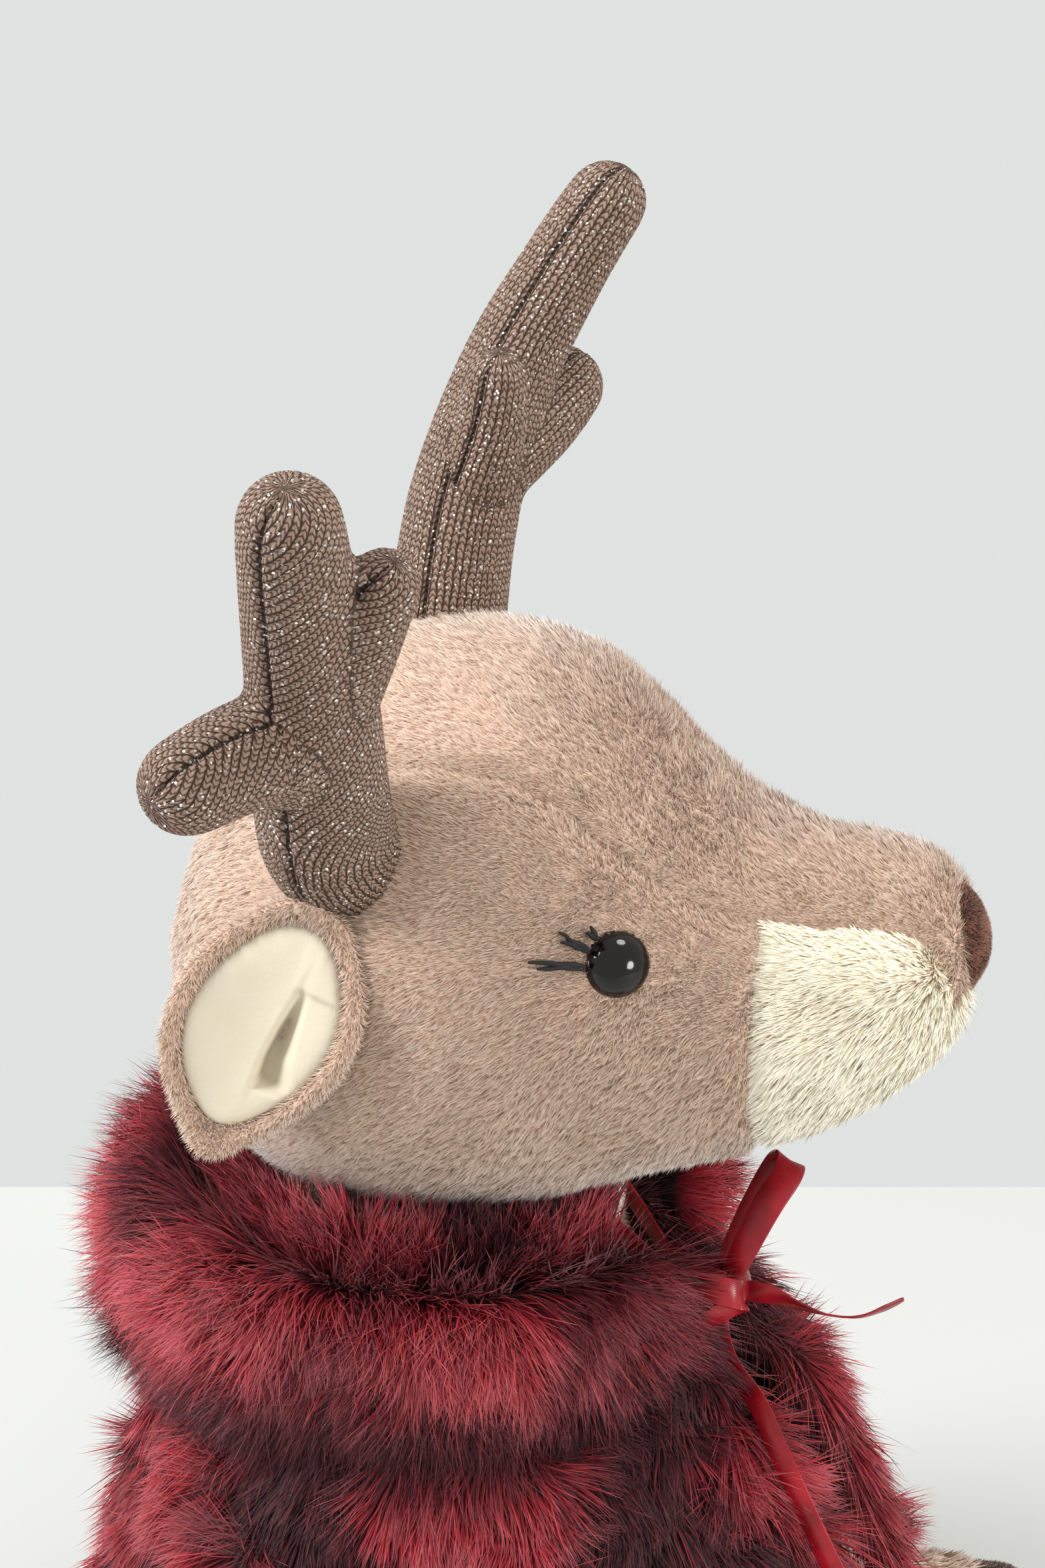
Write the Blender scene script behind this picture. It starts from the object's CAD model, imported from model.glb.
from math import cos, pi, radians, sin

import bmesh
import bpy
import numpy as np
from mathutils import Matrix, Vector
from mathutils.kdtree import KDTree


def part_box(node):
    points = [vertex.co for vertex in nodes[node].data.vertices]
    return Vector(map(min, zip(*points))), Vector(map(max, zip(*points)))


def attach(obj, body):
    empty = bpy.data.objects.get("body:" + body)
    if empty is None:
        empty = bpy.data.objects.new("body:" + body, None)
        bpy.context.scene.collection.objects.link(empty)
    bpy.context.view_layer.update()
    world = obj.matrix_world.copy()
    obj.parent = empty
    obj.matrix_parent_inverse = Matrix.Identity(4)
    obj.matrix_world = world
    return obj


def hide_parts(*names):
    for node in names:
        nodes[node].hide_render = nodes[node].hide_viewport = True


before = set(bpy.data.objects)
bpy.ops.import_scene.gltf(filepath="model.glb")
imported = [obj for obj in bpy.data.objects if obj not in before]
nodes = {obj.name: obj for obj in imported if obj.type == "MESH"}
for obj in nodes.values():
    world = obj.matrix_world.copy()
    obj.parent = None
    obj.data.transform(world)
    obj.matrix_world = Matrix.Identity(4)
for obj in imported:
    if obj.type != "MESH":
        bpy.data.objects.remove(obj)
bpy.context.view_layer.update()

MM = 0.001
SIDE_REACH = 0.109  # where pile at the object's sides starts to turn in
PLUSH_LIMIT, FUR_LIMIT = 95000, 60000  # strands in one object
rng = np.random.default_rng(7)


# camera, floor and light
def place_camera():
    azimuth, elevation = radians(282), radians(25)
    target = Vector((0, -25, 300)) * MM
    right = Vector((cos(azimuth), sin(azimuth), 0))
    back = Vector((sin(azimuth) * cos(elevation), -cos(azimuth) * cos(elevation), sin(elevation)))
    up = back.cross(right)
    data = bpy.data.cameras.new("camera")
    data.sensor_fit = "VERTICAL"
    data.sensor_height = 36
    data.lens = 70
    data.clip_start = 0.01
    ob = bpy.data.objects.new("camera", data)
    bpy.context.scene.collection.objects.link(ob)
    turn = Matrix((right, up, back)).transposed().to_4x4()
    turn.translation = target + back * 0.686
    ob.matrix_world = turn
    bpy.context.scene.camera = ob
    return right, back


def area_light(name, place, target, size, power, colour=(1, 1, 1)):
    data = bpy.data.lights.new(name, "AREA")
    data.shape = "DISK"
    data.size = size
    data.energy = power
    data.color = colour
    ob = bpy.data.objects.new(name, data)
    bpy.context.scene.collection.objects.link(ob)
    ob.location = place
    ob.rotation_euler = (Vector(target) - Vector(place)).to_track_quat("-Z", "Y").to_euler()


view_right, view_back = place_camera()


def build_stage():
    scene = bpy.context.scene
    scene.view_settings.view_transform = "Standard"
    ahead = Vector((-view_back.x, -view_back.y, 0)).normalized()
    side = Vector((view_right.x, view_right.y, 0)).normalized()
    corners = [side * x + ahead * y for x, y in ((-1.1, -1.2), (1.1, -1.2), (1.1, 0.298), (-1.1, 0.298))]
    mesh = bpy.data.meshes.new("floor")
    mesh.from_pydata([(p.x, p.y, 0.0) for p in corners], [], [(0, 1, 2, 3)])
    floor = bpy.data.objects.new("floor", mesh)
    scene.collection.objects.link(floor)
    mat = bpy.data.materials.new("floor")
    mat.use_nodes = True
    shader = mat.node_tree.nodes["Principled BSDF"]
    shader.inputs["Base Color"].default_value = (0.54, 0.55, 0.54, 1)
    shader.inputs["Roughness"].default_value = 0.6
    mesh.materials.append(mat)

    world = bpy.data.worlds.new("world")
    scene.world = world
    world.use_nodes = True
    tree = world.node_tree
    tree.nodes.clear()
    out = tree.nodes.new("ShaderNodeOutputWorld")
    mix = tree.nodes.new("ShaderNodeMixShader")
    path = tree.nodes.new("ShaderNodeLightPath")
    seen = tree.nodes.new("ShaderNodeBackground")
    seen.inputs["Color"].default_value = (0.74, 0.765, 0.75, 1)
    light = tree.nodes.new("ShaderNodeBackground")
    light.inputs["Color"].default_value = (1.0, 0.99, 0.96, 1)
    light.inputs["Strength"].default_value = 0.8
    tree.links.new(path.outputs["Is Camera Ray"], mix.inputs["Fac"])
    tree.links.new(light.outputs[0], mix.inputs[1])
    tree.links.new(seen.outputs[0], mix.inputs[2])
    tree.links.new(mix.outputs[0], out.inputs["Surface"])
    area_light("key", (-0.42, 1.0, 1.05), (0, -0.02, 0.25), 0.6, 21.0, (0.98, 0.99, 1.0))
    area_light("fill", (-0.6, -1.25, 0.5), (0, -0.03, 0.24), 0.45, 10.0, (1.0, 0.99, 0.97))
    area_light("above", (0.15, -0.35, 1.25), (0, -0.04, 0.28), 0.4, 5.0, (1.0, 0.98, 0.95))


build_stage()


# mesh helpers
def link(ob):
    bpy.context.scene.collection.objects.link(ob)
    return ob


def mesh_object(name, co, polys, smooth=True):
    """A mesh object from arrays; polys is a list of (count, 4 or 3) index arrays."""
    mesh = bpy.data.meshes.new(name)
    co = np.asarray(co, np.float32)
    mesh.vertices.add(len(co))
    mesh.vertices.foreach_set("co", co.ravel())
    loops = np.concatenate([p.ravel() for p in polys]).astype(np.int32)
    sizes = np.concatenate([np.full(len(p), p.shape[1]) for p in polys])
    starts = np.concatenate([[0], np.cumsum(sizes)[:-1]]).astype(np.int32)
    mesh.loops.add(len(loops))
    mesh.loops.foreach_set("vertex_index", loops)
    mesh.polygons.add(len(sizes))
    mesh.polygons.foreach_set("loop_start", starts)
    mesh.update(calc_edges=True)
    if smooth:
        mesh.shade_smooth()
    return link(bpy.data.objects.new(name, mesh))


def point_colour(ob, name, values):
    layer = ob.data.attributes.new(name, "FLOAT_COLOR", "POINT")
    data = np.ones((len(values), 4), np.float32)
    data[:, :values.shape[1]] = values
    layer.data.foreach_set("color", data.ravel())


def surface_of(ob):
    """Triangle corners and smooth corner normals of an object's shown mesh."""
    graph = bpy.context.evaluated_depsgraph_get()
    mesh = bpy.data.meshes.new_from_object(ob.evaluated_get(graph))
    mesh.calc_loop_triangles()
    co = np.empty(len(mesh.vertices) * 3, np.float32)
    mesh.vertices.foreach_get("co", co)
    no = np.empty(len(mesh.vertices) * 3, np.float32)
    mesh.vertices.foreach_get("normal", no)
    tri = np.empty(len(mesh.loop_triangles) * 3, np.int32)
    mesh.loop_triangles.foreach_get("vertices", tri)
    bpy.data.meshes.remove(mesh)
    return co.reshape(-1, 3), no.reshape(-1, 3), tri.reshape(-1, 3)


def ring_object(name, co, around):
    """A closed object from rings of points, one row after another, with flat caps and outward faces."""
    rows = len(co) // around
    i, j = np.meshgrid(np.arange(rows - 1), np.arange(around), indexing="ij")
    k = (j + 1) % around
    quads = np.stack([i * around + j, i * around + k, (i + 1) * around + k, (i + 1) * around + j], 2)
    caps = np.array([np.arange(around)[::-1], (rows - 1) * around + np.arange(around)])
    ob = mesh_object(name, co, [quads.reshape(-1, 4), caps])
    fix_normals(ob)
    return ob


def fix_normals(ob):
    bm = bmesh.new()
    bm.from_mesh(ob.data)
    bmesh.ops.recalc_face_normals(bm, faces=bm.faces)
    bm.to_mesh(ob.data)
    bm.free()


def unit(v):
    return v / np.maximum(np.linalg.norm(v, axis=-1, keepdims=True), 1e-9)


def scatter(surface, per_mm2, keep=None):
    """Random places and smooth normals on a surface, where keep(place, normal) lets them lie."""
    co, no, tri = surface
    a, b, c = co[tri[:, 0]], co[tri[:, 1]], co[tri[:, 2]]
    area = 0.5 * np.linalg.norm(np.cross(b - a, c - a), axis=1)
    if keep is not None:
        middle = (a + b + c) / 3
        area = area * keep(middle, unit(no[tri].sum(1)))
    count = int(area.sum() * 1e6 * per_mm2)
    pick = np.searchsorted(np.cumsum(area) / area.sum(), rng.random(count))
    u, v = rng.random(count), rng.random(count)
    swap = u + v > 1
    u[swap], v[swap] = 1 - u[swap], 1 - v[swap]
    w = (1 - u - v)[:, None]
    u, v = u[:, None], v[:, None]
    t = tri[np.minimum(pick, len(tri) - 1)]
    place = co[t[:, 0]] * w + co[t[:, 1]] * u + co[t[:, 2]] * v
    normal = unit(no[t[:, 0]] * w + no[t[:, 1]] * u + no[t[:, 2]] * v)
    return place, normal


def noise3(p, scale, seed=0):
    """Smooth pseudo noise, about -1 to 1, from a few turned waves; p in metres, scale in metres."""
    r = np.random.default_rng(seed)
    out = np.zeros(len(p))
    for octave in range(2):
        for _ in range(5):
            k = unit(r.normal(size=3)) * 2 * pi / (scale / (1.9 ** octave)) * r.uniform(0.7, 1.3)
            out += np.sin(p @ k + r.uniform(0, 2 * pi)) * 0.62 ** octave
    return out / 3.2


def pile(name, place, normal, comb, length, width, segments, material, body, slot, tint, stray=0.25,
         curl=0.0, clump=None, upright=0.35):
    """Pile on a surface as tapered blades. comb is the way they lean, tint two numbers kept with each,
    clump the strands in a tuft and how far their tips draw together."""
    count = len(place)
    length = np.broadcast_to(length, count)[:, None]
    jitter = rng.normal(size=(count, 3)) * stray
    start = unit(normal + comb + jitter)
    end = unit(start + comb * 0.8 + jitter * 0.6)
    pull = np.zeros((count, 3))
    if clump:
        many, hold = clump
        centres = rng.choice(count, max(1, count // many), replace=False)
        tree = KDTree(len(centres))
        for i, p in enumerate(place[centres]):
            tree.insert(p, i)
        tree.balance()
        near = np.array([tree.find(p)[1] for p in place])
        sway = rng.normal(size=(len(centres), 3))[near]
        pull = (place[centres][near] - place) * hold + sway * length * 0.12
    across = unit(np.cross(start, normal + rng.normal(size=(count, 3)) * 0.45))
    face = np.cross(across, start)
    across *= np.sign((face * normal).sum(1, keepdims=True) + 1e-9)
    wave = rng.normal(size=(count, 3)) * curl
    steps = np.linspace(0, 1, segments + 1)
    parts = []
    for s in steps:
        bend = start * s + (end - start) * s * s * 0.5 + wave * s * (1 - s)
        spine = place + length * bend + pull * s ** 1.5
        beyond = np.clip(np.abs(spine[:, 0]) - SIDE_REACH, 0, None)
        spine[:, 0] -= np.sign(spine[:, 0]) * beyond * 0.65
        if s < 1:
            half = across * (width / 2) * (1 - s) ** 0.6
            parts += [spine - half, spine + half]
        else:
            parts.append(spine)
    shades = np.array([v for s in steps[:-1] for v in (s, s)] + [1.0])
    stride = len(parts)
    co = np.stack(parts, 1).reshape(-1, 3)
    base = np.arange(count)[:, None] * stride
    quads = [base + np.array([2 * k, 2 * k + 1, 2 * k + 3, 2 * k + 2]) for k in range(segments - 1)]
    tips = base + np.array([2 * segments - 2, 2 * segments - 1, 2 * segments])
    polys = ([np.concatenate(quads)] if quads else []) + [tips]
    ob = mesh_object(name, co, polys)
    values = np.empty((count, stride, 3), np.float32)
    values[:, :, 0] = shades[None, :]
    values[:, :, 1:] = np.asarray(tint)[:, None, :]
    point_colour(ob, "pile", values.reshape(-1, 3))
    side = np.repeat(unit(np.cross(across, start)), stride, 0)
    flat = np.repeat(normal, stride, 0)
    bent = unit(flat * (1 - upright) + side * upright)
    ob.data.normals_split_custom_set_from_vertices(bent.astype(np.float32).tolist())
    ob.data.materials.append(material)
    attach(ob, body)
    return ob


def in_batches(name, place, normal, comb, length, limit, *rest, tint, **more):
    """The same pile as several objects of at most limit strands."""
    made = []
    order = np.argsort(place[:, 2])
    for number, some in enumerate(np.array_split(order, int(np.ceil(len(place) / limit)))):
        made.append(pile(f"{name}_{number}", place[some], normal[some], comb[some], length[some], *rest,
                         tint=tint[some], **more))
    return made


def uneven(length, count):
    """Lengths of pile about the given one."""
    return length * (1 + 0.15 * rng.normal(size=count))


def fur_tint(red, spread):
    """A random number and a share of red for each strand of the cape's fur."""
    return np.stack([rng.random(len(red)), np.clip(red + spread * rng.normal(size=len(red)), 0, 1)], 1)


def across_surface(vectors, normal):
    return vectors - normal * (vectors * normal).sum(1, keepdims=True)


def swirl(place, size, seed):
    return np.stack([noise3(place, size, seed + k) for k in range(3)], 1)


def ease(value, low, high):
    t = np.clip((value - low) / (high - low), 0, 1)
    return t * t * (3 - 2 * t)


def welded(name, source, voxel=0.0, smooth=0, levels=0):
    """A seamless copy of a CAD node's mesh, evened out for its pile."""
    mesh = nodes[source].data.copy()
    mesh.name = name
    bm = bmesh.new()
    bm.from_mesh(mesh)
    bmesh.ops.remove_doubles(bm, verts=bm.verts, dist=1e-5)
    bmesh.ops.recalc_face_normals(bm, faces=bm.faces)
    bm.to_mesh(mesh)
    bm.free()
    mesh.materials.clear()
    ob = link(bpy.data.objects.new(name, mesh))
    if voxel:
        mod = ob.modifiers.new("even", "REMESH")
        mod.mode = "VOXEL"
        mod.voxel_size = voxel
    if smooth:
        mod = ob.modifiers.new("soft", "SMOOTH")
        mod.factor, mod.iterations = 0.5, smooth
    if levels:
        mod = ob.modifiers.new("fine", "SUBSURF")
        mod.levels = mod.render_levels = levels
    apply(ob)
    ob.data.shade_smooth()
    return ob


def apply(ob):
    graph = bpy.context.evaluated_depsgraph_get()
    mesh = bpy.data.meshes.new_from_object(ob.evaluated_get(graph))
    ob.modifiers.clear()
    ob.data = mesh
    return ob


def dress(ob, material, body, slot, *stands_for, fill=None):
    """The calls that every shown piece needs."""
    ob.data.materials.append(material)
    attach(ob, body)
    if stands_for:
        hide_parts(*stands_for)
    return ob


# materials
SOCKETS = {"sheen": "Sheen Weight", "sheen_tint": "Sheen Tint", "sheen_roughness": "Sheen Roughness",
           "specular": "Specular IOR Level", "coat": "Coat Weight", "coat_roughness": "Coat Roughness"}


class Nodes:
    """Short calls for building a node material."""

    def __init__(self, name, roughness=0.8):
        self.material = bpy.data.materials.new(name)
        self.material.use_nodes = True
        self.tree = self.material.node_tree
        self.shader = self.tree.nodes["Principled BSDF"]
        self.shader.inputs["Roughness"].default_value = roughness

    def add(self, kind, **values):
        node = self.tree.nodes.new("ShaderNode" + kind)
        for key, value in values.items():
            setattr(node, key, value)
        return node

    def link(self, a, b):
        self.tree.links.new(a, b)

    def put(self, value, socket):
        if isinstance(value, bpy.types.NodeSocket):
            self.link(value, socket)
        elif isinstance(value, tuple):
            socket.default_value = (*value, 1.0)[:4] if len(socket.default_value) == 4 else value
        else:
            socket.default_value = value

    def attribute(self, name):
        node = self.add("Attribute", attribute_name=name)
        split = self.add("SeparateColor")
        self.link(node.outputs["Color"], split.inputs[0])
        return split.outputs

    def noise(self, scale, detail=2.0, rough=0.5, vector=None):
        node = self.add("TexNoise")
        node.inputs["Scale"].default_value = scale
        node.inputs["Detail"].default_value = detail
        node.inputs["Roughness"].default_value = rough
        if vector is None:
            vector = self.add("TexCoord").outputs["Object"]
        self.link(vector, node.inputs["Vector"])
        return node.outputs["Fac"]

    def ramp(self, value, stops):
        node = self.add("ValToRGB")
        self.put(value, node.inputs[0])
        while len(node.color_ramp.elements) < len(stops):
            node.color_ramp.elements.new(0.5)
        for element, (place, colour) in zip(node.color_ramp.elements, stops):
            element.position = place
            element.color = (*colour, 1.0)
        return node.outputs["Color"]

    def mix(self, share, a, b, blend="MIX"):
        node = self.add("Mix", data_type="RGBA", blend_type=blend)
        self.put(share, node.inputs["Factor"])
        self.put(a, node.inputs[6])
        self.put(b, node.inputs[7])
        return node.outputs[2]

    def math(self, operation, a, b=0.0, clamp=False):
        node = self.add("Math", operation=operation, use_clamp=clamp)
        self.put(a, node.inputs[0])
        self.put(b, node.inputs[1])
        return node.outputs[0]

    def bump(self, height, strength, distance):
        node = self.add("Bump")
        self.put(height, node.inputs["Height"])
        node.inputs["Strength"].default_value = strength
        node.inputs["Distance"].default_value = distance
        self.link(node.outputs["Normal"], self.shader.inputs["Normal"])

    def surface(self, **values):
        """Constant values on the shader's own sockets."""
        for word, value in values.items():
            self.shader.inputs[SOCKETS[word]].default_value = value

    def base(self, colour):
        self.put(colour, self.shader.inputs["Base Color"])
        return self.material


def srgb(text):
    values = [int(text[i:i + 2], 16) / 255 for i in (0, 2, 4)]
    return tuple(v / 12.92 if v <= 0.04045 else ((v + 0.055) / 1.055) ** 2.4 for v in values)


def pile_material(name, root, middle, tip, patch, patch_size, patch_strength, fleck_strength=0.6, sheen=0.3):
    n = Nodes(name, 0.85)
    along, chance, _ = n.attribute("pile")
    colour = n.ramp(along, [(0.0, root), (0.45, middle), (1.0, tip)])
    fleck = n.ramp(chance, [(0.0, (0, 0, 0)), (0.80, (0.08, 0.08, 0.08)), (0.92, (1, 1, 1))])
    varied = n.mix(n.math("MULTIPLY", fleck, fleck_strength), colour, root)
    cloud = n.ramp(n.noise(1 / patch_size, 3.0, 0.6), [(0.45, (0, 0, 0)), (0.7, (1, 1, 1))])
    out = n.mix(n.math("MULTIPLY", cloud, patch_strength), varied, patch)
    n.surface(sheen=sheen, sheen_roughness=0.5, specular=0.25)
    return n.base(out)


def ground_material(name, colour, dark, size=0.0015):
    """The knitted backing under pile: fine loops in two shades."""
    n = Nodes(name, 0.95)
    loops = n.noise(1 / size, 2.0)
    n.bump(loops, 0.5, 0.0004)
    return n.base(n.mix(loops, colour, dark))


def plush_ground(name, colour, dark):
    """Dense short pile seen from above: a pale nap with small, darker partings."""
    n = Nodes(name, 0.95)
    nap = n.noise(420, 4.0, 0.7)
    parting = n.ramp(n.noise(230, 3.0, 0.65), [(0.34, (1, 1, 1)), (0.46, (0, 0, 0))])
    n.bump(nap, 0.6, 0.0008)
    n.surface(sheen=0.3, sheen_roughness=0.5)
    soft = n.mix(n.math("MULTIPLY", nap, 0.35), colour, dark)
    return n.base(n.mix(n.math("MULTIPLY", parting, 0.5), soft, dark))


def velvet_material():
    """Smooth short velvet, paler where its nap turns."""
    n = Nodes("cream_velvet", 0.9)
    nap = n.noise(900, 3.0, 0.6)
    n.bump(nap, 0.35, 0.0004)
    n.surface(sheen=0.12, sheen_roughness=0.5)
    return n.base(n.mix(n.math("MULTIPLY", n.noise(160, 2.0), 0.5), srgb("D2C8B4"), srgb("C2B79F")))


def cape_material():
    """Long pile that runs from black-red roots to red, with grey-black tips in its dark patches."""
    n = Nodes("cape_pile", 0.55)
    along, chance, patch = n.attribute("pile")
    bright = n.ramp(along, [(0.0, srgb("3E0A12")), (0.3, srgb("8E1724")), (0.65, srgb("B82E3A")),
                            (1.0, srgb("D2767D"))])
    dark = n.ramp(along, [(0.0, srgb("0E0608")), (0.5, srgb("280E15")), (0.8, srgb("381820")),
                          (1.0, srgb("32242A"))])
    both = n.mix(patch, dark, bright)
    n.surface(sheen=0.25, sheen_tint=(0.9, 0.4, 0.45, 1), sheen_roughness=0.4, specular=0.2)
    return n.base(n.mix(n.math("MULTIPLY", chance, 0.25), both, srgb("30090F")))


def knit_material():
    """Columns of slanted stitches with dark gaps, a seam, and bright flecks of metal thread."""
    n = Nodes("knit", 0.7)
    column, stitch, from_seam = n.attribute("knit")
    bend = n.math("MULTIPLY", n.noise(330, 3.0), 0.7)
    column = n.math("ADD", column, bend)
    edge = n.math("ABSOLUTE", n.math("SUBTRACT", n.math("FRACT", column), 0.5))
    round_top = n.math("SUBTRACT", 1.0, n.math("POWER", n.math("MULTIPLY", edge, 2.0), 4.0))
    slant = n.math("ADD", stitch, n.math("MULTIPLY", edge, 1.3))
    slant = n.math("ADD", slant, n.math("MULTIPLY", n.noise(420), 0.9))
    bead = n.math("ABSOLUTE", n.math("SINE", n.math("MULTIPLY", slant, pi)))
    height = n.math("MULTIPLY", round_top, n.math("ADD", 0.42, n.math("MULTIPLY", bead, 0.58)))
    tall = n.math("ADD", height, n.math("MULTIPLY", n.noise(1500, 4.0, 0.7), 0.6))
    yarn = [(0.2, srgb("20150F")), (0.55, srgb("453229")), (1.0, srgb("6F5648")), (1.3, srgb("9C8374"))]
    colour = n.ramp(tall, yarn)
    seam = n.math("LESS_THAN", from_seam, 0.55)
    colour = n.mix(n.math("MULTIPLY", seam, 0.8), colour, srgb("1A100C"))
    voronoi = n.add("TexVoronoi")
    voronoi.inputs["Scale"].default_value = 1200
    n.link(n.add("TexCoord").outputs["Object"], voronoi.inputs["Vector"])
    pick = n.add("SeparateColor")
    n.link(voronoi.outputs["Color"], pick.inputs[0])
    close = n.math("LESS_THAN", voronoi.outputs["Distance"], 0.36)
    fleck = n.math("MULTIPLY", n.math("GREATER_THAN", pick.outputs[0], 0.77), close)
    fleck = n.math("MULTIPLY", fleck, n.math("GREATER_THAN", height, 0.35))
    n.put(n.math("MULTIPLY", fleck, 0.85), n.shader.inputs["Metallic"])
    n.put(n.math("SUBTRACT", 0.75, n.math("MULTIPLY", fleck, 0.45)), n.shader.inputs["Roughness"])
    n.surface(specular=0.3)
    n.bump(tall, 0.9, 0.0009)
    return n.base(n.mix(fleck, colour, srgb("F6F2EE")))


def satin_material():
    """Deep red with fine ribs across it that catch the light."""
    n = Nodes("satin", 0.3)
    n.surface(specular=0.42)
    rib = n.add("TexWave", wave_type="BANDS", bands_direction="DIAGONAL")
    rib.inputs["Scale"].default_value = 900
    rib.inputs["Distortion"].default_value = 1.5
    n.link(n.add("TexCoord").outputs["Object"], rib.inputs["Vector"])
    n.bump(rib.outputs["Fac"], 0.15, 0.0001)
    cloud = n.ramp(n.noise(120, 2.0), [(0.35, (0, 0, 0)), (0.65, (1, 1, 1))])
    return n.base(n.mix(cloud, srgb("7A0814"), srgb("A01020")))


def gloss_material():
    n = Nodes("eye_gloss", 0.11)
    n.surface(specular=0.32, coat=0.15, coat_roughness=0.03)
    return n.base(n.mix(n.noise(60, 2.0), srgb("060404"), srgb("0E0A0A")))


def thread_material(name, light, dark):
    n = Nodes(name, 0.75)
    strands = n.noise(3200, 2.0, 0.6)
    n.bump(strands, 0.7, 0.0003)
    return n.base(n.mix(strands, light, dark))


def filling_material(name, light, dark, size, bump):
    n = Nodes(name, 0.9)
    lumps = n.noise(1 / size, 4.0, 0.65)
    n.bump(lumps, 0.8, bump)
    return n.base(n.mix(lumps, light, dark))


COLUMN_PITCH, STITCH_PITCH = 1.75, 1.7  # mm
tan_pile = pile_material("tan_pile", *map(srgb, ("A87E62", "D0B6A1", "E8D7C8", "DAB29C")),
                         0.02, 0.2, 0.75, 0.5)
cream_pile = pile_material("cream_pile", *map(srgb, ("F8EAC8", "FFF9E6", "FFFDEE", "FBEFD2")),
                           0.018, 0.25, 0.08)
nose_pile = pile_material("nose_pile", *map(srgb, ("5E3829", "7C4E3C", "966C5A", "663E30")), 0.006, 0.3)
hoof_pile = pile_material("hoof_pile", *map(srgb, ("3E251C", "6B4334", "8A6352", "4E3025")), 0.010, 0.3)
tan_ground = plush_ground("tan_ground", srgb("D6BEAC"), srgb("C0A08B"))
cream_ground = plush_ground("cream_ground", srgb("FDF6E8"), srgb("F2E6CC"))
velvet = velvet_material()
nose_ground = ground_material("nose_ground", srgb("7A4E3E"), srgb("5A3426"))
hoof_ground = ground_material("hoof_ground", srgb("5A3A2D"), srgb("432A20"))
cape_ground = ground_material("cape_ground", srgb("2A0C12"), srgb("12060A"), 0.003)
cape_pile = cape_material()
knit = knit_material()
satin = satin_material()
gloss = gloss_material()
black_thread = thread_material("black_thread", srgb("1A1516"), srgb("080606"))
washer_plastic = filling_material("washer_plastic", srgb("E8E8E2"), srgb("D4D4CC"), 0.002, 0.0002)


# the head
HEAD_LENGTH, HEAD_HEIGHT, HEAD_WIDTH, HEAD_BACK, HEAD_RISE = 0.182, 0.1316, 0.129, 0.054, 0.265
HEAD_ROWS = [
    (0.022, -0.074, 0.400, 0.42), (0.099, -0.053, 0.760, 0.77), (0.198, -0.014, 0.942, 0.92),
    (0.297, 0.006, 1.024, 0.99), (0.407, 0.023, 1.021, 1.00), (0.505, 0.020, 0.956, 0.95),
    (0.582, 0.001, 0.828, 0.85), (0.648, -0.035, 0.698, 0.75), (0.714, -0.054, 0.607, 0.66),
    (0.791, -0.057, 0.528, 0.58), (0.868, -0.031, 0.463, 0.52), (0.934, -0.004, 0.372, 0.43),
    (0.978, 0.011, 0.266, 0.30)]
SEAM_Y = HEAD_BACK - HEAD_LENGTH * 0.758
BOTH = ((-1, "right"), (1, "left"))


def cage(name, rings, start, end, levels):
    """A closed cage through rings, smoothed."""
    count = len(rings[0])
    co = [p for ring in rings for p in ring] + [start, end]
    faces = []
    for r in range(len(rings) - 1):
        for i in range(count):
            j = (i + 1) % count
            faces.append((r * count + i, r * count + j, (r + 1) * count + j, (r + 1) * count + i))
    last = (len(rings) - 1) * count
    tips = len(rings) * count
    faces += [(i, (i + 1) % count, tips) for i in range(count)]
    faces += [(last + i, last + (i + 1) % count, tips + 1) for i in range(count)]
    mesh = bpy.data.meshes.new(name)
    mesh.from_pydata([tuple(p) for p in co], [], faces)
    bm = bmesh.new()
    bm.from_mesh(mesh)
    bmesh.ops.recalc_face_normals(bm, faces=bm.faces)
    bm.to_mesh(mesh)
    bm.free()
    mesh.shade_smooth()
    ob = link(bpy.data.objects.new(name, mesh))
    mod = ob.modifiers.new("fine", "SUBSURF")
    mod.levels = mod.render_levels = levels
    return apply(ob)


def gusset_half(y):
    """Half the width of the head's top panel."""
    return np.interp(-y, [-0.054, -0.006, 0.05, 0.084, 0.13], [0.024, 0.0385, 0.0377, 0.0266, 0.016])


def mesh_points(ob):
    co = np.empty(len(ob.data.vertices) * 3, np.float32)
    ob.data.vertices.foreach_get("co", co)
    no = np.empty(len(ob.data.vertices) * 3, np.float32)
    ob.data.vertices.foreach_get("normal", no)
    return co.reshape(-1, 3).astype(float), no.reshape(-1, 3).astype(float)


def set_points(ob, co):
    ob.data.vertices.foreach_set("co", co.astype(np.float32).ravel())
    ob.data.update()


def seam_depth(place, width):
    """1 in the middle of a sewn seam of the head, 0 beyond its width."""
    top = place[:, 2] > HEAD_RISE + 0.004
    beside = np.abs(np.abs(place[:, 0]) - gusset_half(place[:, 1]))
    long_seam = np.where(top, 1 - np.clip(beside / width, 0, 1), 0)
    inside = top & (np.abs(place[:, 0]) < gusset_half(place[:, 1]))
    cross_seam = np.where(inside, 0, 1 - np.clip(np.abs(place[:, 1] - SEAM_Y) / width, 0, 1))
    return np.maximum(long_seam, cross_seam)


DIMPLES = [(-0.012, -0.049), (0.004, -0.060)]


def dimple(place):
    """1 at the forehead's two pulled stitches, 0 away from them."""
    depth = np.zeros(len(place))
    for x, y in DIMPLES:
        gap = np.hypot((place[:, 0] - x) / 0.0022, (place[:, 1] - y) / 0.0035)
        depth = np.maximum(depth, np.exp(-gap ** 2) * (place[:, 2] > HEAD_RISE))
    return depth


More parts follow.
